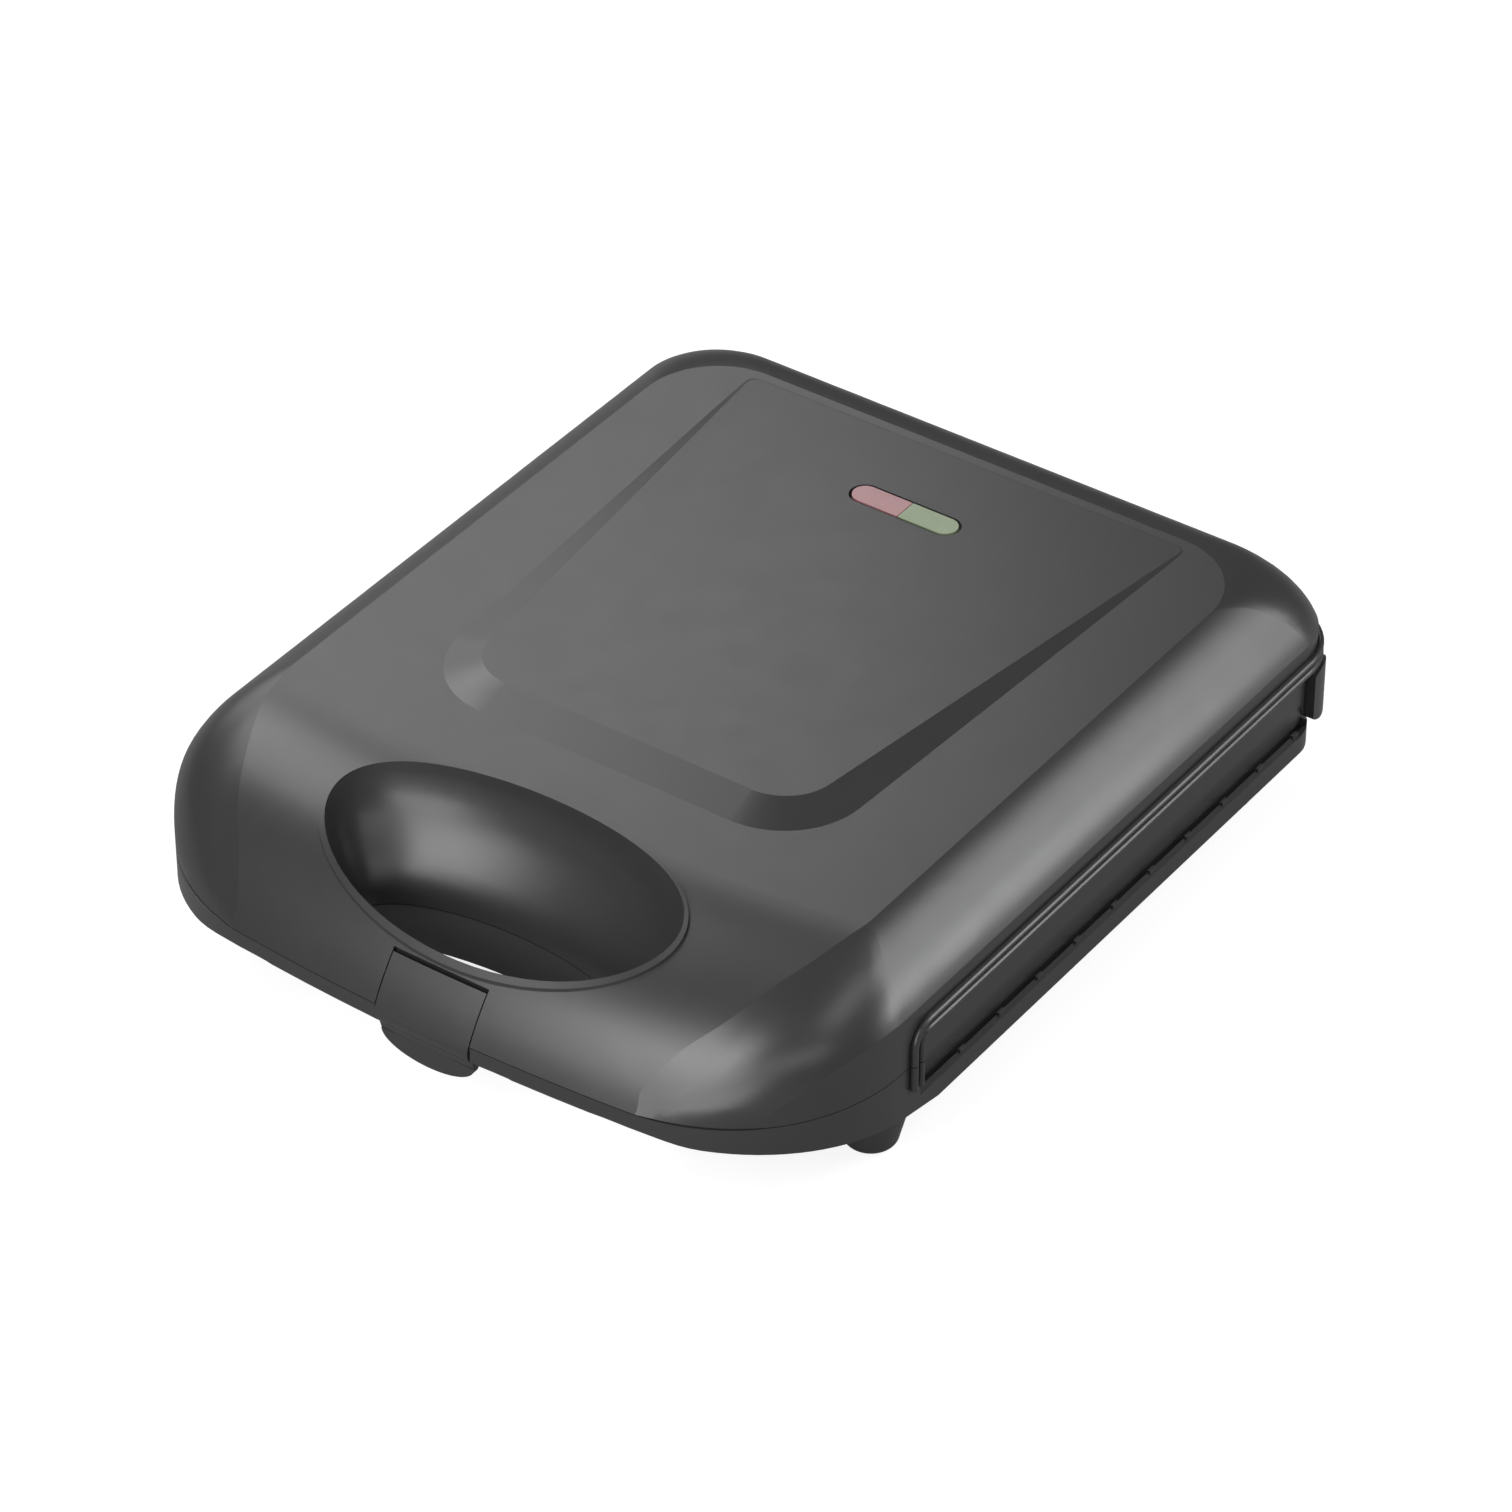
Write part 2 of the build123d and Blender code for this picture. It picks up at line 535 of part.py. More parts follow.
def screw(x, y, seat, tip, r=1.5, head_r=3.0, head=1.8):
    """Pan-head screw along Z: the head lies against `seat`, on the side away from `tip`."""
    way = 1 if tip > seat else -1
    profile = Plane.XZ * make_face(
        Polyline(
            (0, -way * head), (head_r - 0.8, -way * head), (head_r, -way * head * 0.35), (head_r, 0),
            (r, 0), (r, tip - seat - way * r), (0, tip - seat), close=True,
        ).edges()
    )
    return Pos(x, y, seat) * revolve(profile, Axis.Z)


def lower(shape):
    return Pos(0, PLATE_Y, LOWER_FACE) * shape


def upper(shape):
    return Pos(0, PLATE_Y, UPPER_FACE) * mirror(shape, Plane.XY)


def plate_screws(face, way):
    """Screws through the pan into the four bosses of a plate."""
    seat, tip = face + way * (BOSS_END + PAN_T), face + way * (PLATE_T + 3.5)
    return solids_of([screw(x, y + PLATE_Y, seat, tip) for x, y in BOSSES])


# ---------------------------------------------------------------- base
def underside():
    """Field over the lip and the sloping underside of the handle, down to the flat bottom."""
    tilt = radians(LIP_SLOPE)
    end = (LIP_Y - LIP_R * sin(tilt), LIP_Z - LIP_R * cos(tilt))
    flat = end[0] + (end[1] - BASE_Z) / tan(tilt)
    rise = BASE_TOP - LIP_Z
    start = LIP_Y - sqrt(LIP_R**2 - rise**2)
    first = 180 - degrees(asin(rise / LIP_R))
    back = REAR_Y + 5
    return about_front(
        side_face(
            CenterArc((LIP_Y, LIP_Z), LIP_R, first, 270 - LIP_SLOPE - first),
            Line(end, (flat, BASE_Z)),
            Line((flat, BASE_Z), (back, BASE_Z)),
            Line((back, BASE_Z), (back, BASE_TOP)),
            Line((back, BASE_TOP), (start, BASE_TOP)),
        )
    )


def base_form():
    form = body_plan(0, BASE_Z + BASE_BEVEL, BASE_TOP)
    form += body_plan(BASE_BEVEL, BASE_Z, BASE_Z + BASE_BEVEL, taper=-45)
    form &= underside()
    return form & extrude(outline(HALF_W, NOSE_Y, BASE_REAR, CORNER_R, BASE_REAR_R), 60)


def ear_trough():
    sides = (BARREL_HALF, HALF_W + 5)
    room = cylinder_x(TROUGH_R, *sides, HINGE_Y, HINGE_Z)
    room += slab(sides, (HINGE_Y, REAR_Y + 5), (HINGE_Z - TROUGH_R, HINGE_Z + 10))
    room += slab(sides, (HINGE_Y - TROUGH_R, REAR_Y + 5), (HINGE_Z, HINGE_Z + 10))
    return mirrored(room)


def side_slot():
    """Slot that the lid's skirt hangs in, open to the side above a low outer wall."""
    rear = RECESS_REAR - 0.6
    inner, outer = HALF_W - SLOT_IN, HALF_W - SLOT_WALL
    over_wall = (SLOT_WALL_TOP, BASE_TOP + 1)
    room = slab((inner, HALF_W + 5), (SLOT_FRONT, rear), over_wall)
    room += slab((inner, outer), (SLOT_FRONT, rear), (LEDGE_Z, SLOT_WALL_TOP + 0.1))
    room += slab((HALF_W - RECESS_IN, HALF_W + 5), (RING_FRONT + RING_WIDTH, SLOT_FRONT + 1), over_wall)
    return mirrored(room)


def wall_nubs():
    """Row of small nubs on the inner edge of the low outer wall of the slot."""
    inner = HALF_W - SLOT_WALL
    depth, height = (inner, inner + NUB_DEEP), (SLOT_WALL_TOP - 0.2, SLOT_WALL_TOP + NUB_HIGH)
    nub = slab(depth, (NUB_FIRST - NUB_HALF, NUB_FIRST + NUB_HALF), height)
    row = [Pos(0, k * NUB_PITCH, 0) * nub for k in range(NUB_COUNT)]
    return mirrored(sum(row[1:], row[0]))


def make_base_housing():
    base = base_form()
    base += slab((-CORD_HALF, CORD_HALF), (124.2, BASE_REAR), (CORD_LOW, BASE_Z + 2))
    for one in beads(RING_FOOT, BASE_TOP):
        base += one
    base -= ear_trough()
    base += cylinder_x(BARREL_R, -BARREL_HALF, BARREL_HALF, HINGE_Y, HINGE_Z)
    base -= side_slot()
    base += wall_nubs()
    middle = (HOLLOW_FRONT + HOLLOW_REAR) / 2
    base -= rounded_plate(2 * HOLLOW_HALF, HOLLOW_REAR - HOLLOW_FRONT, 10, HOLLOW_LOW, HOLLOW_TOP, middle)
    for x, y in COVER_SCREWS:
        base += cylinder_z(3.6, x, y, BASE_Z, 20.5) - cylinder_z(1.5, x, y, BASE_Z - 1, 19.5)
        base -= cylinder_z(1.5, x, y, BASE_Z - 1, 19.5)
    middle = (FLOOR_FRONT + FLOOR_REAR) / 2
    base -= rounded_plate(2 * FLOOR_HALF, FLOOR_REAR - FLOOR_FRONT, 10, BASE_Z - 1, HOLLOW_LOW + 1, middle)
    base -= plate_room(LOWER_FACE - PLATE_T, BASE_TOP + 1)
    base -= rounded_plate(PLATE_X2 - 5, PLATE_Y2 - 5, PLATE_CORNER - 2, HOLLOW_TOP - 1, BASE_TOP, PLATE_Y)
    base -= bowl()
    base -= latch_pocket()
    base -= mirrored(cylinder_x(PIN_R, PIN_IN, BARREL_HALF + 1, HINGE_Y, HINGE_Z))
    base -= Pos(0, BASE_REAR + 1, CORD_Z) * extrude(Plane.XZ * Circle(BUSH_R), BASE_REAR + 1 - 122)
    base -= slab((-4, 4), (122, HOLLOW_REAR), (CORD_Z, HOLLOW_LOW + 1))
    return base


def make_bottom_cover():
    """Belly pan: a tray with drafted walls and a flange screwed under the base."""
    middle = (FLOOR_FRONT + FLOOR_REAR) / 2
    wide, deep = 2 * FLOOR_HALF - 4, FLOOR_REAR - FLOOR_FRONT - 4
    flange = rounded_plate(wide + 21, deep + 15, 14, 13, BASE_Z, middle)
    tray = rounded_plate(wide - 8, deep - 8, 10, 7, BASE_Z, middle, taper=-26)
    room = rounded_plate(wide - 11, deep - 11, 9, 9, BASE_Z + 1, middle, taper=-26)
    cover = flange + tray - room
    for x, y in COVER_SCREWS:
        cover -= cylinder_z(1.8, x, y, 12, BASE_Z + 1)
    return cover


def make_feet():
    """Four tapered legs with rounded ends, seated on the underside of the base."""
    form = base_form()
    profile = Plane.XZ * make_face(
        [
            *Polyline((0, 18.5), (12.4, 18.5), (8.6, 3.0)).edges(),
            *ThreePointArc((8.6, 3.0), (7.6, 0.9), (5.6, 0)).edges(),
            *Polyline((5.6, 0), (0, 0), (0, 18.5)).edges(),
        ]
    )
    leg = revolve(profile, Axis.Z)
    return solids_of([Pos(x, y, 0) * leg - form for x, y in FOOT_PLACES])


# ---------------------------------------------------------------- latch and indicator
def make_latch():
    """Strip flush in the nose of the lid, with a hook under the base lip and a rounded finger tab."""
    start, centre_z = dome_y(DECK_Z), DECK_Z - DOME_R
    top = (dome_y(LATCH_TOP), LATCH_TOP)
    nose = (dome_y(PART_Z), PART_Z)
    a0 = degrees(atan2(top[1] - centre_z, top[0] - start))
    a1 = degrees(atan2(nose[1] - centre_z, nose[0] - start))
    b0 = degrees(atan2(nose[1] - LIP_Z, nose[0] - LIP_Y)) % 360
    b1 = 231.0
    out = (LIP_Y + LIP_R * cos(radians(b1)), LIP_Z + LIP_R * sin(radians(b1)))
    inner_r = LIP_R - LATCH_T
    inner = (LIP_Y + inner_r * cos(radians(b0)), LIP_Z + inner_r * sin(radians(b0)))
    hub = (LATCH_PIN_Y - LATCH_HUB_R * cos(radians(20)), LATCH_PIN_Z - LATCH_HUB_R * sin(radians(20)))
    face_y = out[0] + 0.9
    back_y, foot = face_y + LATCH_T, LATCH_FOOT - 0.5
    strip = about_front(
        side_face(
            CenterArc((start, centre_z), DOME_R, a0, a1 - a0),
            Line(nose, (LIP_Y + LIP_R * cos(radians(b0)), LIP_Z + LIP_R * sin(radians(b0)))),
            CenterArc((LIP_Y, LIP_Z), LIP_R, b0, b1 - b0),
            *Polyline(out, (face_y, LATCH_FOOT), (face_y, foot), (back_y, foot)).edges(),
            *Polyline((back_y, foot), (back_y, 27.4), (-149.75, 28.5), (-150.2, 30.6), inner, hub).edges(),
            *Polyline(hub, (LATCH_PIN_Y, LATCH_PIN_Z), (LATCH_PIN_Y + 2.0, LATCH_PIN_Z + 1.6), top).edges(),
        )
    )
    strip &= slab((-LATCH_HALF, LATCH_HALF), (-170, -130), (0, 60))
    strip += cylinder_x(LATCH_HUB_R, -LATCH_HALF, LATCH_HALF, LATCH_PIN_Y, LATCH_PIN_Z)
    tab = Pos(0, face_y, LATCH_FOOT) * extrude(Plane.XZ * Ellipse(LATCH_HALF, TAB_DROP), -LATCH_T)
    strip += tab & slab((-20, 20), (-170, -130), (0, LATCH_FOOT))
    fall = tan(radians(LIP_SLOPE))
    lip_under = LIP_Z - LIP_R * cos(radians(LIP_SLOPE)) - 0.35
    root = face_y + 1
    hook = side_face(
        *Polyline(
            (root, lip_under - 3.4), (HOOK_IN - 0.6, lip_under - 3.4), (HOOK_IN, lip_under - 2.6),
            (HOOK_IN, lip_under - fall * (HOOK_IN - LIP_Y)), (root, lip_under - fall * (root - LIP_Y)),
            close=True,
        ).edges()
    )
    strip += both_ways(hook, HOOK_HALF)
    return strip - cylinder_x(LATCH_PIN_R + PIN_PLAY, -30, 30, LATCH_PIN_Y, LATCH_PIN_Z)


def make_lens(side):
    """Half of the indicator: a rounded lens with a flange under the lid."""
    lens = lamp_window(LENS_FLANGE_Z, LENS_TOP, LENS_GAP)
    lens += lamp_window(LENS_FLANGE_Z, DECK_Z - WALL, -1.5)
    x = sorted((side * 0.15, side * 40))
    return lens & slab(x, (WINDOW_Y - 20, WINDOW_Y + 20), (0, 90))


def make_lamp_holder():
    holder = extrude(Pos(0, WINDOW_Y, LENS_FLANGE_Z - 2) * SlotOverall(2 * LAMP_EAR_X + 8, 15), 2)
    for x in (-LAMP_X, LAMP_X):
        holder += cylinder_z(4.6, x, WINDOW_Y, LENS_FLANGE_Z - 9, LENS_FLANGE_Z)
    for x in (-LAMP_X, LAMP_X):
        holder -= cylinder_z(3.0, x, WINDOW_Y, LENS_FLANGE_Z - 10, LENS_FLANGE_Z + 1)
    for x in (-LAMP_EAR_X, LAMP_EAR_X):
        holder -= cylinder_z(1.5, x, WINDOW_Y, 0, 90)
    return holder


def make_lamp(side):
    """Neon lamp in its holder, with a domed end towards the lens."""
    x = side * LAMP_X
    lamp = cylinder_z(3.0, x, WINDOW_Y, LENS_FLANGE_Z - 11, LENS_FLANGE_Z - 2.2)
    return lamp + Pos(x, WINDOW_Y, LENS_FLANGE_Z - 2.2) * Sphere(2.0)


# ---------------------------------------------------------------- electrical parts
THERMOSTAT_Y = -57.5
BACK_Z = LOWER_FACE - PLATE_T
PAN_Z = LOWER_FACE - BOSS_END


def make_thermostat():
    body = cylinder_z(8.0, 0, THERMOSTAT_Y, PAN_Z, BACK_Z - 2.5)
    body += cylinder_z(9.5, 0, THERMOSTAT_Y, BACK_Z - 2.5, BACK_Z)
    for x in (-3.0, 3.0):
        body += slab((x - 0.4, x + 0.4), (THERMOSTAT_Y - 2.4, THERMOSTAT_Y + 2.4), (PAN_Z - 6.4, PAN_Z + 1))
    return body


def make_thermal_fuse():
    """Fuse in a sleeve clipped flat against the back of the lower plate."""
    fuse = cylinder_x(2.2, -9, 9, 109.0, BACK_Z - 2.2)
    fuse += slab((-3, 3), (106.8, 111.2), (BACK_Z - 2.2, BACK_Z))
    return fuse


def make_terminal_block():
    block = slab((6, 40), (84, 98), (9, 17.5))
    for x in (10.5, 18.8, 27.2, 35.5):
        block -= cylinder_z(2.4, x, 91, 13, 18)
    return block


def make_cord_gland():
    """Bush in the rear wall: the inlet for the mains cord."""
    bush = Pos(0, BASE_REAR, CORD_Z) * extrude(Plane.XZ * Circle(BUSH_R), 17)
    bush += Pos(0, BASE_REAR + 2.2, CORD_Z) * extrude(Plane.XZ * Circle(BUSH_FLANGE_R), 2.2)
    return bush - Pos(0, BASE_REAR + 5, CORD_Z) * extrude(Plane.XZ * Circle(CORD_R), 30)


def wire(*points, r=1.3, bend=4.0):
    """Insulated lead along a bent line."""
    spine = FilletPolyline(*points, radius=bend)
    start, ahead = Vector(*points[0]), Vector(*points[1])
    return sweep(Plane(origin=start, z_dir=ahead - start) * Circle(r), path=spine)


def make_base_wires():
    """Leads from the terminal block to the thermostat and the element, and through the fuse."""
    pin_x, pin_y, pin_z = LEG_END[0], PLATE_Y + LEG_END[1] + TERMINAL_L, LOWER_FACE - ELEMENT_DEPTH
    run_z, tab_y = 18.6, THERMOSTAT_Y + 2.4
    fuse_z, pan_z = BACK_Z - 2.2, PAN_Z + 1.3
    leads = [
        wire(
            (35.5, 98, 13), (35.5, 103, 13), (pin_x, 107, run_z), (pin_x, 107, pin_z), (pin_x, pin_y, pin_z),
            bend=2.4,
        ),
        wire(
            (-9, 109, fuse_z), (-13, 109, fuse_z), (-13, 109, pan_z), (-84, 106, pan_z), (-pin_x, 106, pin_z),
            (-pin_x, pin_y, pin_z), r=1.1, bend=1.5,
        ),
        wire((10.5, 84, 13), (10.5, 76, 13), (6, 60, run_z), (3, tab_y + 20, run_z), (3, tab_y, run_z)),
        wire((18.8, 84, 13), (18.8, 76, 13), (16, 60, run_z), (-3, tab_y + 24, run_z), (-3, tab_y, run_z)),
    ]
    return solids_of(leads)


def make_lid_wires():
    """Leads from the upper element, through the pan, to the lamps."""
    pin_y, pin_z = PLATE_Y + LEG_END[1] + TERMINAL_L, UPPER_FACE + ELEMENT_DEPTH
    lamp_z, run_z = LENS_FLANGE_Z - 11, 56.0
    leads = []
    for side in (-1, 1):
        x, lamp = side * LEG_END[0], side * LAMP_X
        run = [(x, pin_y, pin_z), (x, 107, pin_z), (x, 107, run_z), (lamp, WINDOW_Y, run_z)]
        leads.append(wire(*run, (lamp, WINDOW_Y, lamp_z), bend=2.4))
    return solids_of(leads)


def hinge_pins():
    return mirrored(cylinder_x(PIN_R, PIN_IN, PIN_OUT, HINGE_Y, HINGE_Z))


def lamp_screws():
    seat = LENS_FLANGE_Z - 2
    return solids_of([screw(x, WINDOW_Y, seat, seat + 5, 1.2, 2.4, 1.4) for x in (-LAMP_EAR_X, LAMP_EAR_X)])


def make_nodes():
    """Every piece of the donut maker by node name."""
    plate, element, pan = make_plate(), make_element(), make_reflector()
    return {
        "lid_cover": make_lid_cover(),
        "lid_frame": make_lid_frame(),
        "base_housing": make_base_housing(),
        "bottom_cover": make_bottom_cover(),
        "feet": make_feet(),
        "latch": make_latch(),
        "latch_pin": cylinder_x(LATCH_PIN_R, -LATCH_PIN_HALF, LATCH_PIN_HALF, LATCH_PIN_Y, LATCH_PIN_Z),
        "hinge_pins": hinge_pins(),
        "red_lens": make_lens(-1),
        "green_lens": make_lens(1),
        "lamp_holder": make_lamp_holder(),
        "red_lamp": make_lamp(-1),
        "green_lamp": make_lamp(1),
        "upper_plate": upper(plate),
        "lower_plate": lower(plate),
        "upper_element": upper(element),
        "lower_element": lower(element),
        "upper_reflector": upper(pan),
        "lower_reflector": lower(pan) - cylinder_z(5.5, 0, THERMOSTAT_Y, 0, BACK_Z),
        "upper_plate_screws": plate_screws(UPPER_FACE, 1),
        "lower_plate_screws": plate_screws(LOWER_FACE, -1),
        "frame_screws": solids_of([screw(x, y, PART_Z + 2.2, SCREW_TOP - 1) for x, y in FRAME_SCREWS]),
        "cover_screws": solids_of([screw(x, y, 13, 19) for x, y in COVER_SCREWS]),
        "lamp_screws": lamp_screws(),
        "thermostat": make_thermostat(),
        "thermal_fuse": make_thermal_fuse(),
        "terminal_block": make_terminal_block(),
        "cord_gland": make_cord_gland(),
        "base_wires": make_base_wires(),
        "lid_wires": make_lid_wires(),
    }


if __name__ == "__main__":
    os.makedirs("parts", exist_ok=True)
    for name, shape in make_nodes().items():
        export_step(shape, f"parts/{name}.step")
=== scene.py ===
"""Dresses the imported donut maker: finishes for every piece, crossed screws, a floor, soft lamps and a camera."""

import math

import bpy
import numpy as np
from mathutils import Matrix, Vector


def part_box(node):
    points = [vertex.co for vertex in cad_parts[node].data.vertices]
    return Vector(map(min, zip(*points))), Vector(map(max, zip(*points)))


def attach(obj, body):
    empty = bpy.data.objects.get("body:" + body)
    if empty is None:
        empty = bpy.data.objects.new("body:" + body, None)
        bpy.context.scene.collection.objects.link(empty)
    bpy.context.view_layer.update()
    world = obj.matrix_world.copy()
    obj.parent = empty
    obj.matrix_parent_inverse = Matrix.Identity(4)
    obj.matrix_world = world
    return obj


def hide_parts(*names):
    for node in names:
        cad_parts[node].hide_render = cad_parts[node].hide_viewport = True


bl_info = {
    "name": "Donut maker finishes",
    "version": (1, 1, 0),
    "blender": (4, 5, 0),
    "location": "3D View > Sidebar > Donut maker",
    "description": "Finishes, screws, studio and camera for a table-top donut maker",
    "category": "Object",
}

MM = 0.001

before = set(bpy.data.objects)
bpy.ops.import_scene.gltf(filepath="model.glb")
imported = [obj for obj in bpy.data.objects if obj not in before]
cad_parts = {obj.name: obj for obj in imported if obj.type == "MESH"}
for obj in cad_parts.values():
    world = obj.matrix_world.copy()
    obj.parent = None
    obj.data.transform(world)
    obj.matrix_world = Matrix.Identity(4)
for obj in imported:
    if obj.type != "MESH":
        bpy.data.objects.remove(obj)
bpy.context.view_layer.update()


# ------------------------------------------------------------ colours, nodes and meshes
def linear(code, alpha=1.0):
    """An sRGB hex colour such as '6c6c6c' as linear red, green, blue and alpha."""
    channels = np.array([int(code[i : i + 2], 16) for i in (0, 2, 4)]) / 255.0
    low, high = channels / 12.92, ((channels + 0.055) / 1.055) ** 2.4
    return (*np.where(channels <= 0.04045, low, high).tolist(), alpha)


def add(tree, kind, inputs=None, output=0, **settings):
    """Adds a node with its settings, fills or links its inputs by name or number, and gives back one output."""
    made = tree.nodes.new(kind)
    for name, value in settings.items():
        setattr(made, name, value)
    for name, value in (inputs or {}).items():
        if isinstance(value, bpy.types.NodeSocket):
            tree.links.new(value, made.inputs[name])
        else:
            made.inputs[name].default_value = value
    return made.outputs[output] if made.outputs else None


# sockets of the Mix node in its colour mode
MIX_FACTOR, MIX_A, MIX_B, MIX_RESULT = 0, 6, 7, 2


def empty_material(name):
    """A material without nodes, its tree, and the Object coordinates that its patterns read."""
    material = bpy.data.materials.new(name)
    material.use_nodes = True
    tree = material.node_tree
    tree.nodes.clear()
    return material, tree, add(tree, "ShaderNodeTexCoord", output="Object")


def dress(material, *nodes):
    """Gives CAD nodes one material."""
    for node in nodes:
        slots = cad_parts[node].data.materials
        slots.clear()
        slots.append(material)


def sheet_mesh(name, grids, material, body, stands_for):
    """One object from grids of points, each (rows, columns, 3) in millimetres and closed along its columns."""
    points, faces, start = [], [], 0
    for grid in grids:
        rows, columns = grid.shape[:2]
        index = start + np.arange(rows * columns).reshape(rows, columns)
        beside = np.roll(index, -1, axis=1)
        faces.append(np.stack([index[:-1], beside[:-1], beside[1:], index[1:]], axis=-1).reshape(-1, 4))
        points.append(grid.reshape(-1, 3))
        start += rows * columns
    mesh = bpy.data.meshes.new(name)
    mesh.from_pydata(np.concatenate(points) * MM, [], np.concatenate(faces).tolist())
    mesh.materials.append(material)
    mesh.shade_smooth()
    piece = bpy.data.objects.new(name, mesh)
    bpy.context.scene.collection.objects.link(piece)
    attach(piece, body)
    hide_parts(stands_for)
    return piece


# ------------------------------------------------------------ what a user may change
class HousingLook(bpy.types.PropertyGroup):
    """Colour and gloss of the moulded shells"""

    shell: bpy.props.StringProperty(name="Shell colour", description="sRGB hex of the moulded shells", default="363637")
    rough: bpy.props.FloatProperty(
        name="Roughness", description="Roughness of the satin shells", default=0.32, min=0, max=1, subtype="FACTOR"
    )


class WindowLook(bpy.types.PropertyGroup):
    """Colours of the indicator lenses"""

    red: bpy.props.StringProperty(name="Red lens", description="sRGB hex of the left lens", default="ac8084")
    green: bpy.props.StringProperty(name="Green lens", description="sRGB hex of the right lens", default="8d9b80")


class StudioLook(bpy.types.PropertyGroup):
    """Camera and lamps"""

    lens: bpy.props.FloatProperty(
        name="Lens", description="Focal length of the camera in millimetres", default=158.1, min=20
    )
    azimuth: bpy.props.FloatProperty(
        name="Azimuth", description="Camera's turn to the right of the front",
        default=math.radians(35.26), subtype="ANGLE",
    )
    elevation: bpy.props.FloatProperty(
        name="Elevation", description="Camera's height over the table", default=math.radians(37.44), subtype="ANGLE"
    )
    distance: bpy.props.FloatProperty(
        name="Distance", description="From the camera to the point it looks at", default=1.9472, unit="LENGTH"
    )
    light: bpy.props.FloatProperty(name="Light", description="Share of the lamps' light", default=1.0, min=0)


# ------------------------------------------------------------ studio
CAMERA_TARGET = Vector((33.93, -33.7, 75.0)) * MM
SENSOR_WIDTH = 36.0                 # mm
LAMP_TARGET = Vector((0.0, 0.0, 50.0)) * MM
LAMP_DISTANCE = 1.6                 # m

# soft boxes: name, azimuth and elevation in degrees, width and height in metres, radiance
# together they and the world give a level surface an irradiance of about pi, so a colour renders as it is written
LAMPS = (
    ("front_low", 10.0, 8.0, 1.00, 0.43, 4.48),
    ("front_middle", 357.0, 25.0, 1.05, 0.36, 4.65),
    ("front_high", 352.0, 37.5, 0.78, 0.36, 7.47),
    ("front_top", 355.0, 49.0, 0.70, 0.24, 4.15),
    ("front_right", 45.0, 29.0, 1.10, 0.42, 1.49),
    ("right_low", 124.0, 11.0, 0.62, 0.43, 7.05),
    ("back_right", 135.0, 31.0, 0.74, 0.80, 4.32),
    ("back_left", 239.5, 38.5, 1.46, 0.43, 2.74),
    ("back_left_low", 244.0, 18.0, 0.80, 0.46, 1.74),
    ("left", 268.0, 51.0, 0.80, 0.60, 3.82),
    ("right_high", 90.0, 53.0, 0.92, 0.43, 1.91),
)

FLOOR_HALF = 6.0                    # half a side of the floor, m
PAPER_GRAIN, PAPER_RELIEF = 2.0, 0.02       # width and height of the paper's grain, mm
GLOW_NEAR, GLOW_FAR = 0.85, 1.0     # the floor's own light near the object and far from it
NEAR, FAR = 0.5, 1.6                # distances from the object between which the glow rises, m
WORLD_DIM = 0.05                    # strength of the world where it isn't seen as white
# the satin shells stand in a dim room: more of the white than this in their gloss would turn their dark rolls grey
GLOSSY_SHARE = 0.06


def way_to(azimuth, elevation):
    """The unit vector at these angles, from the front towards the right and up."""
    flat = math.cos(elevation)
    return Vector((math.sin(azimuth) * flat, -math.cos(azimuth) * flat, math.sin(elevation)))


def look_along(item, way):
    """Puts a camera or lamp into the scene, turned to look along a way."""
    item.rotation_mode = "QUATERNION"
    item.rotation_quaternion = way.to_track_quat("-Z", "Y")
    bpy.context.scene.collection.objects.link(item)


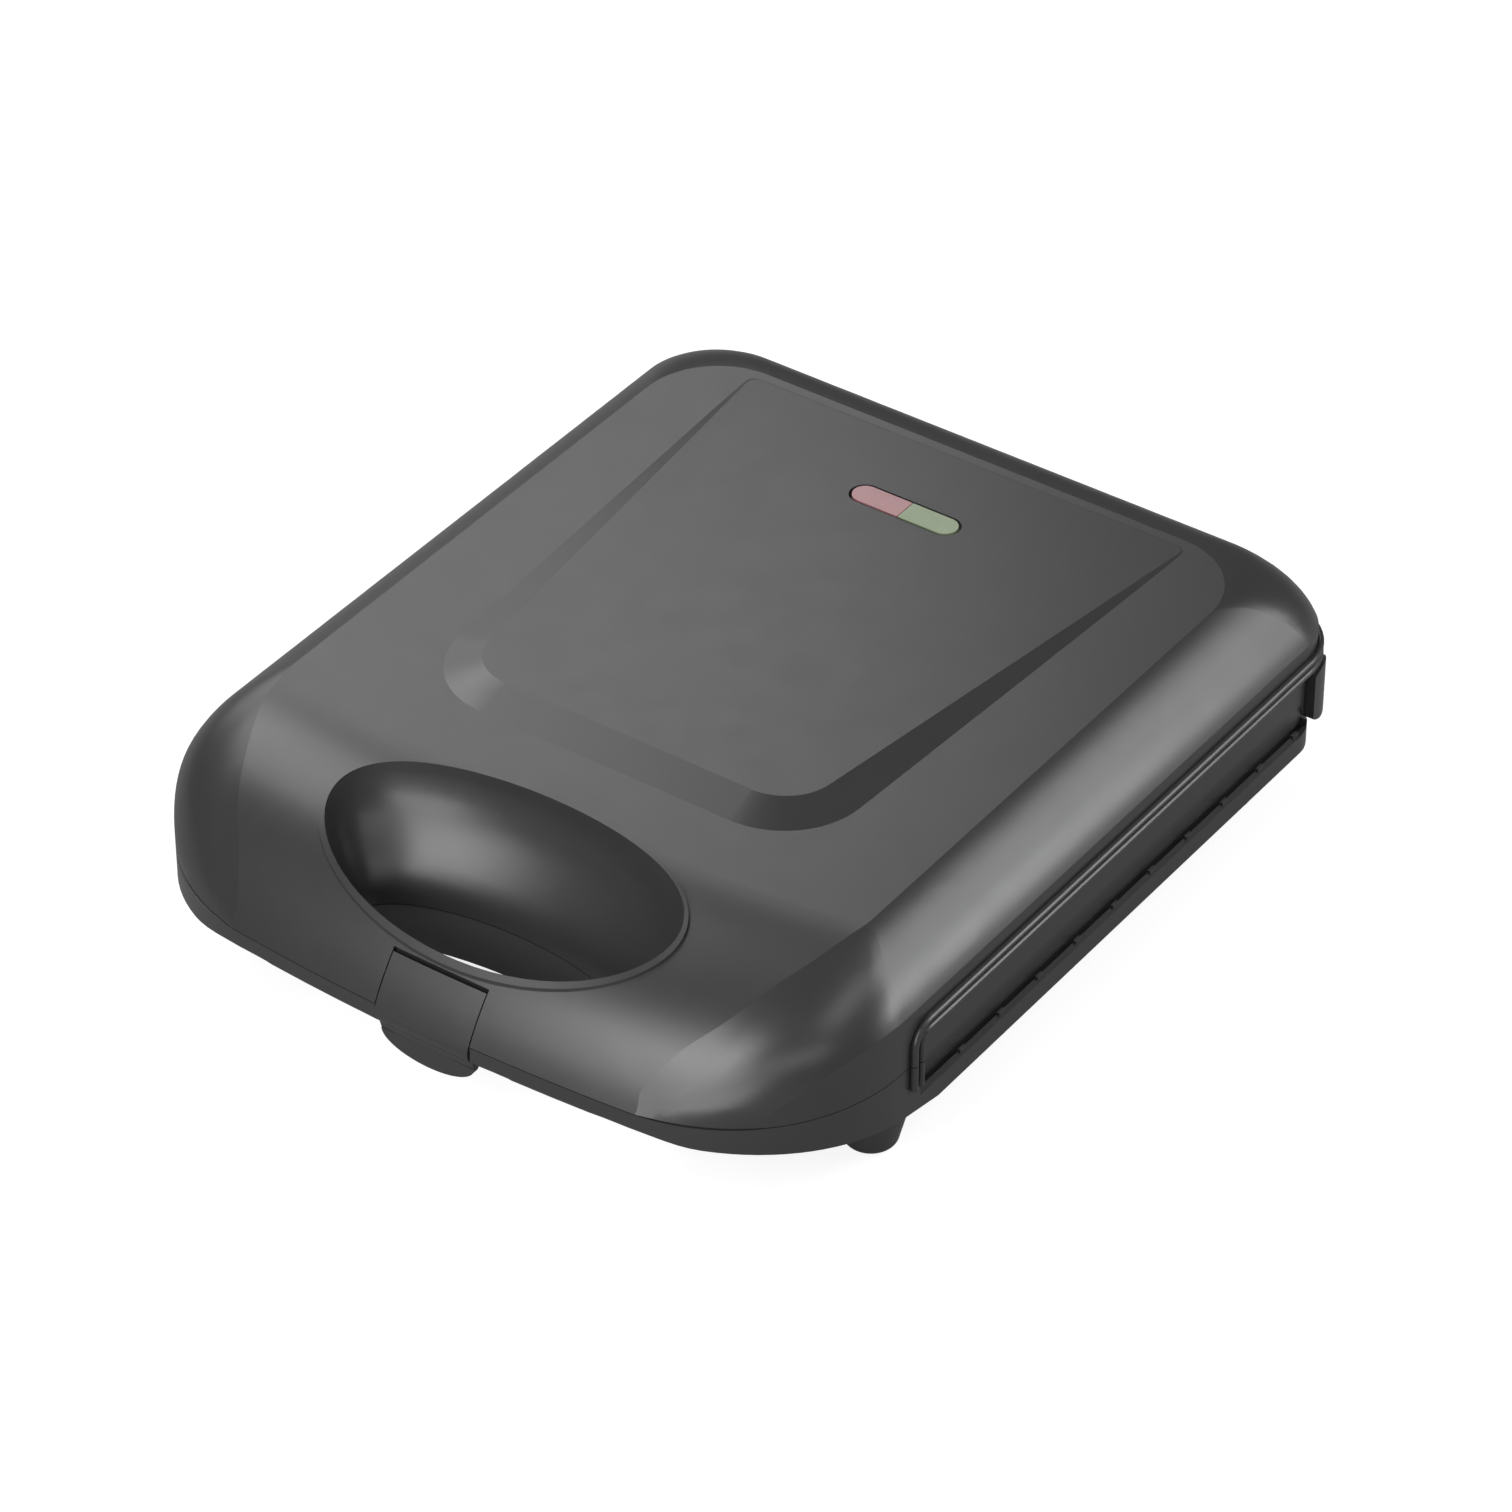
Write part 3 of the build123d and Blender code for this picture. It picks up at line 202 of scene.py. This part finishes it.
class DONUT_OT_stage(bpy.types.Operator):
    """Adds the pale floor, the soft lamps, the world and the camera"""

    bl_idname = "donut.stage"
    bl_label = "Studio"

    def execute(self, context):
        look = context.scene.donut_studio
        data = bpy.data.cameras.new("studio_camera")
        data.lens, data.sensor_width = look.lens, SENSOR_WIDTH
        data.clip_start, data.clip_end = 0.05, 50.0
        camera = bpy.data.objects.new("studio_camera", data)
        way = way_to(look.azimuth, look.elevation)
        camera.location = CAMERA_TARGET + way * look.distance
        look_along(camera, -way)
        context.scene.camera = camera
        for name, azimuth, elevation, width, height, radiance in LAMPS:
            self.add_lamp(
                name, way_to(math.radians(azimuth), math.radians(elevation)), width, height,
                radiance * look.light,
            )
        self.add_floor(context)
        self.add_world(context)
        context.scene.view_settings.view_transform = "Standard"
        return {"FINISHED"}

    def add_lamp(self, name, way, width, height, radiance):
        """A soft box of even radiance: its power is radiance times pi times its area."""
        data = bpy.data.lights.new(name, "AREA")
        data.shape = "RECTANGLE"
        data.size, data.size_y = width, height
        data.energy = radiance * math.pi * width * height
        lamp = bpy.data.objects.new(name, data)
        lamp.location = LAMP_TARGET + way * LAMP_DISTANCE
        lamp.visible_camera = False
        look_along(lamp, -way)

    def white_share(self, tree):
        """How much of the white a ray meets: all of it from the camera or through glass, GLOSSY_SHARE in gloss."""
        rays = add(tree, "ShaderNodeLightPath").node.outputs
        straight = {0: rays["Is Camera Ray"], 1: rays["Is Transmission Ray"]}
        straight = add(tree, "ShaderNodeMath", straight, operation="MAXIMUM")
        gloss = add(tree, "ShaderNodeMath", {0: rays["Is Glossy Ray"], 1: GLOSSY_SHARE}, operation="MULTIPLY")
        return add(tree, "ShaderNodeMath", {0: straight, 1: gloss}, operation="MAXIMUM")

    def add_floor(self, context):
        """Matt grey paper that looks white to the camera and keeps the object's shadow."""
        corners = FLOOR_HALF * np.array([(-1, -1, 0), (1, -1, 0), (1, 1, 0), (-1, 1, 0)])
        mesh = bpy.data.meshes.new("floor")
        mesh.from_pydata(corners, [], [(0, 1, 2, 3)])
        floor = bpy.data.objects.new("floor", mesh)
        context.scene.collection.objects.link(floor)
        material, tree, where = empty_material("paper_matt")
        grain = add(tree, "ShaderNodeTexNoise", {"Vector": where, "Scale": 1 / (PAPER_GRAIN * MM), "Detail": 3.0})
        bump = add(tree, "ShaderNodeBump", {"Height": grain, "Distance": PAPER_RELIEF * MM})
        plain = add(tree, "ShaderNodeBsdfDiffuse", {"Color": linear("969696"), "Normal": bump})
        # the lamps' light falls off away from the object, so the glow rises there and no horizon shows
        away = add(tree, "ShaderNodeVectorMath", {0: where}, output="Value", operation="LENGTH")
        rise = {"Value": away, "From Min": NEAR, "From Max": FAR, "To Min": GLOW_NEAR, "To Max": GLOW_FAR}
        strength = add(tree, "ShaderNodeMapRange", rise)
        glow = add(tree, "ShaderNodeEmission", {"Color": linear("ffffff"), "Strength": strength})
        lit = add(tree, "ShaderNodeAddShader", {0: plain, 1: glow})
        both = add(tree, "ShaderNodeMixShader", {0: self.white_share(tree), 1: plain, 2: lit})
        add(tree, "ShaderNodeOutputMaterial", {"Surface": both})
        mesh.materials.append(material)

    def add_world(self, context):
        """White to the camera and through glass, a dim even light to everything else."""
        world = bpy.data.worlds.new("studio")
        context.scene.world = world
        world.use_nodes = True
        tree = world.node_tree
        tree.nodes.clear()
        dim = add(tree, "ShaderNodeBackground", {"Color": linear("ffffff"), "Strength": WORLD_DIM})
        white = add(tree, "ShaderNodeBackground", {"Color": linear("ffffff"), "Strength": 1.0})
        both = add(tree, "ShaderNodeMixShader", {0: self.white_share(tree), 1: dim, 2: white})
        add(tree, "ShaderNodeOutputWorld", {"Surface": both})


# ------------------------------------------------------------ finishes
CLOUD = 9.0     # width of the clouds in the gloss, mm


def moulded(name, light, dark, rough, spread, grain, depth, drift=45.0, stretch=(1, 1, 1), **sockets):
    """A finish from three noises: slow drift of the colour, clouds in the gloss, and the grain of the surface.

    drift and grain are the width of a cell in mm, depth the grain's height in mm, and stretch how much finer
    the grain is along each axis. Further sockets of the shader keep the same value all over.
    """
    material, tree, where = empty_material(name)
    drifting = add(tree, "ShaderNodeTexNoise", {"Vector": where, "Scale": 1 / (drift * MM), "Detail": 2.0})
    tint = {MIX_FACTOR: drifting, MIX_A: linear(dark), MIX_B: linear(light)}
    colour = add(tree, "ShaderNodeMix", tint, output=MIX_RESULT, data_type="RGBA")
    clouds = add(tree, "ShaderNodeTexNoise", {"Vector": where, "Scale": 1 / (CLOUD * MM), "Detail": 4.0})
    gloss = add(tree, "ShaderNodeMapRange", {"Value": clouds, "To Min": rough - spread, "To Max": rough + spread})
    fine = add(tree, "ShaderNodeMapping", {"Vector": where, "Scale": stretch})
    grained = {"Vector": fine, "Scale": 1 / (grain * MM), "Detail": 3.0, "Roughness": 0.6}
    grained = add(tree, "ShaderNodeTexNoise", grained)
    bump = add(tree, "ShaderNodeBump", {"Height": grained, "Distance": depth * MM})
    shader = add(
        tree, "ShaderNodeBsdfPrincipled", {"Base Color": colour, "Roughness": gloss, "Normal": bump, **sockets}
    )
    add(tree, "ShaderNodeOutputMaterial", {"Surface": shader})
    return material


# refractive indices; the shells' is that of ABS, 1.53, raised until their gloss was right
SHELL_IOR, PBT_IOR, RUBBER_IOR = 1.6, 1.6, 1.52
POLYCARBONATE_IOR, POLYAMIDE_IOR, PTFE_IOR, GLASS_IOR = 1.58, 1.53, 1.38, 1.5


class DONUT_OT_shells(bpy.types.Operator):
    """Gives the lid, base, latch and legs their moulded plastic"""

    bl_idname = "donut.shells"
    bl_label = "Shells, latch and legs"

    def execute(self, context):
        look = context.scene.donut_housing
        # ABS moulded against a spark-eroded tool: an even satin sheen with a fine grain, which is 0.3 mm wide
        # on the real shells and drawn at 0.9 mm so that it shows
        shell = moulded("abs_moulded_satin", look.shell, "323233", look.rough, 0.03, 0.9, 0.003, IOR=SHELL_IOR)
        dress(shell, "lid_cover", "base_housing", "latch", "bottom_cover", "feet")
        # glass-filled PBT behind the shells: heat-proof, a little darker and flatter, with faint flow marks
        inner = moulded("pbt_moulded_matt", "2e2e2f", "272728", 0.5, 0.05, 1.4, 0.008, IOR=PBT_IOR)
        dress(inner, "lid_frame")
        # EPDM bush moulded in the rear wall: dull black, and soft at its edges
        bush = moulded("rubber_moulded_soft", "1c1c1c", "151515", 0.62, 0.06, 0.6, 0.01, IOR=RUBBER_IOR)
        dress(bush, "cord_gland")
        return {"FINISHED"}


class DONUT_OT_window(bpy.types.Operator):
    """Gives the indicator lenses, lamps and their holder their plastics and glass"""

    bl_idname = "donut.window"
    bl_label = "Indicator window"

    def execute(self, context):
        look = context.scene.donut_window
        # polycarbonate moulded with a frosted back: a cloudy tint that keeps a soft gloss on top
        for side, light, dark in (("red", look.red, "a1787b"), ("green", look.green, "819172")):
            name = f"polycarbonate_moulded_frosted_{side}"
            lens = moulded(
                name, light, dark, 0.3, 0.04, 0.8, 0.004, drift=6.0, IOR=POLYCARBONATE_IOR,
                **{"Subsurface Weight": 0.25, "Subsurface Scale": 1.5 * MM},
            )
            dress(lens, f"{side}_lens")
        # neon lamps of blown glass: clear, with the warm cast of their gas
        glass = moulded(
            "glass_blown_warm", "e8cfc0", "dcc0b0", 0.08, 0.02, 2.0, 0.002, drift=3.0, IOR=GLASS_IOR,
            **{"Transmission Weight": 0.8},
        )
        dress(glass, "red_lamp", "green_lamp")
        # natural polyamide moulding: off-white and waxy, yellower where the melt met
        waxy = moulded(
            "polyamide_moulded_natural", "d9d3c5", "cbc2ae", 0.45, 0.05, 0.7, 0.006, drift=14.0, IOR=POLYAMIDE_IOR
        )
        dress(waxy, "lamp_holder", "terminal_block")
        return {"FINISHED"}


class DONUT_OT_plates(bpy.types.Operator):
    """Gives the plates, elements, pans and small metal pieces their metals"""

    bl_idname = "donut.plates"
    bl_label = "Plates and elements"

    def execute(self, context):
        # cast aluminium sprayed with a non-stick coat: black, softly glossy, with the orange peel of the spray
        coat = moulded(
            "aluminium_cast_non_stick_coat", "262627", "1a1a1b", 0.3, 0.06, 1.2, 0.012, drift=2.2, IOR=PTFE_IOR,
            **{"Coat Weight": 0.3, "Coat Roughness": 0.22},
        )
        dress(coat, "upper_plate", "lower_plate")
        # sheathed tube of stainless steel, annealed by its own heat: straw to brown, and dull
        tube = moulded("steel_drawn_heat_tinted", "7d6a55", "4e4a4c", 0.42, 0.08, 0.8, 0.006, drift=16.0, Metallic=1.0)
        dress(tube, "upper_element", "lower_element")
        # rolled aluminium sheet: bright, with fine rolling lines across the pan
        pan = moulded(
            "aluminium_sheet_rolled", "c9c9ca", "b7b7b9", 0.28, 0.05, 0.9, 0.002, stretch=(0.04, 1, 1), Metallic=1.0
        )
        dress(pan, "upper_reflector", "lower_reflector")
        # pressed aluminium can of the thermostat: bright and lightly scuffed
        can = moulded("aluminium_pressed", "b9babc", "a3a4a8", 0.35, 0.08, 0.7, 0.004, drift=5.0, Metallic=1.0)
        dress(can, "thermostat")
        # ground steel pins: fine rings round the pin, across its length
        pin = moulded("steel_ground", "a8a8aa", "98989b", 0.25, 0.04, 0.5, 0.002, stretch=(1, 0.05, 0.05), Metallic=1.0)
        dress(pin, "latch_pin", "hinge_pins")
        # glass-fibre sleeve braided over the leads: chalky white, with the lumps of its yarn
        sleeve = moulded(
            "glass_fibre_sleeve_braided", "dedcd4", "bfbcb2", 0.75, 0.06, 0.7, 0.08, drift=1.1, IOR=GLASS_IOR
        )
        dress(sleeve, "thermal_fuse", "base_wires", "lid_wires")
        return {"FINISHED"}


# ------------------------------------------------------------ screws
SCREW_R, HEAD_R, HEAD_HIGH, HEAD_EDGE = 1.5, 3.0, 1.8, 0.7     # shank, pan head and the rounding of its edge, mm
CROWN, EDGE_SHARE = 0.12, 0.65          # rise of the head's top in mm, and the rounding's share of the head
CROSS_HALF, CROSS_WIDE, CROSS_DEEP, CROSS_SOFT = 1.75, 0.34, 1.1, 0.09      # driver's cross, mm
TOP_STEPS, EDGE_STEPS, ROUND = 34, 9, 96    # grid of a screw: over its top, over its edge, and round
SCREW_TURN = 0.7                        # from one screw's cross to the next one's, radians

# screws in two rows: node, body, half the distance between the rows, Y of each screw, all in mm
SCREW_ROWS = (
    ("cover_screws", "base", 92.0, (-50.0, 26.0, 92.0)),
    ("frame_screws", "lid", 112.5, (-62.0, 24.0, 108.0)),
)


def screw_grid(x, y, low, high, turn):
    """A pan-head screw whose head is down.

    A profile of radius and height is turned about Z: a nearly flat top, a quarter ellipse for the edge, the
    seat, the shank and its point. The driver's cross is a hollow whose depth falls from CROSS_DEEP in the
    middle to nothing at CROSS_HALF along each arm, with walls CROSS_SOFT wide on both sides of the arm.
    """
    top = np.linspace(0.0, HEAD_R - HEAD_EDGE, TOP_STEPS)
    bend = np.linspace(0.0, math.pi / 2, EDGE_STEPS)[1:]
    radius = np.concatenate([top, HEAD_R - HEAD_EDGE + HEAD_EDGE * np.sin(bend), [HEAD_R, SCREW_R, SCREW_R, 0.0]])
    crown = CROWN * (top / HEAD_R) ** 2
    edge = crown[-1] + (EDGE_SHARE * HEAD_HIGH - crown[-1]) * (1 - np.cos(bend))
    seat, tip = HEAD_HIGH, high - low
    height = np.concatenate([crown, edge, [seat, seat, tip - SCREW_R, tip]])
    angle = np.linspace(0.0, 2 * math.pi, ROUND, endpoint=False)
    r, a = np.meshgrid(radius, angle, indexing="ij")
    z = np.repeat(height[:, None], ROUND, axis=1)
    along, across = np.abs(r * np.cos(a)), np.abs(r * np.sin(a))
    arms = [
        np.clip((CROSS_WIDE - wide) / CROSS_SOFT, 0, 1) * np.clip(1 - far / CROSS_HALF, 0, 1) ** 0.5
        for far, wide in ((along, across), (across, along))
    ]
    on_top = (np.arange(len(radius)) < len(top))[:, None]
    z = z + np.where(on_top, CROSS_DEEP * np.maximum(*arms), 0.0)
    return np.stack([x + r * np.cos(a + turn), y + r * np.sin(a + turn), low + z], axis=-1)[:, ::-1]


class DONUT_OT_screws(bpy.types.Operator):
    """Replaces the screws that show under the base and in the open lid by ones with a driver's cross"""

    bl_idname = "donut.screws"
    bl_label = "Screws"

    def execute(self, context):
        # cold-headed steel, zinc plated: silver with a cool cast, and turning marks on the head
        steel = moulded("steel_zinc_plated", "b4b6ba", "9c9ea4", 0.3, 0.07, 0.5, 0.004, drift=2.0, Metallic=1.0)
        dress(steel, "upper_plate_screws", "lower_plate_screws", "lamp_screws", "cover_screws", "frame_screws")
        for node, body, half, rows in SCREW_ROWS:
            low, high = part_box(node)
            places = [(side * half, y) for side in (-1, 1) for y in rows]
            # a screw stops where it is tight, so each head is turned its own way
            grids = [
                screw_grid(x, y, low.z / MM, high.z / MM, SCREW_TURN * number)
                for number, (x, y) in enumerate(places)
            ]
            sheet_mesh(f"{node}_crossed", grids, steel, body, node)
        return {"FINISHED"}


class DONUT_PT_panel(bpy.types.Panel):
    """Lists the pieces that can be made"""

    bl_label = "Donut maker"
    bl_idname = "DONUT_PT_panel"
    bl_space_type = "VIEW_3D"
    bl_region_type = "UI"
    bl_category = "Donut maker"

    def draw(self, context):
        for operator in OPERATORS:
            self.layout.operator(operator.bl_idname)
        for group in LOOKS:
            for name in LOOKS[group].__annotations__:
                self.layout.prop(getattr(context.scene, group), name)


OPERATORS = (DONUT_OT_stage, DONUT_OT_shells, DONUT_OT_window, DONUT_OT_plates, DONUT_OT_screws)
LOOKS = {"donut_housing": HousingLook, "donut_window": WindowLook, "donut_studio": StudioLook}
CLASSES = (*LOOKS.values(), *OPERATORS, DONUT_PT_panel)


def register():
    for cls in CLASSES:
        bpy.utils.register_class(cls)
    for name, look in LOOKS.items():
        setattr(bpy.types.Scene, name, bpy.props.PointerProperty(type=look))


def unregister():
    for name in LOOKS:
        delattr(bpy.types.Scene, name)
    for cls in reversed(CLASSES):
        bpy.utils.unregister_class(cls)


def main():
    register()
    for operator in OPERATORS:
        group, name = operator.bl_idname.split(".")
        getattr(getattr(bpy.ops, group), name)()


if __name__ == "__main__":
    main()
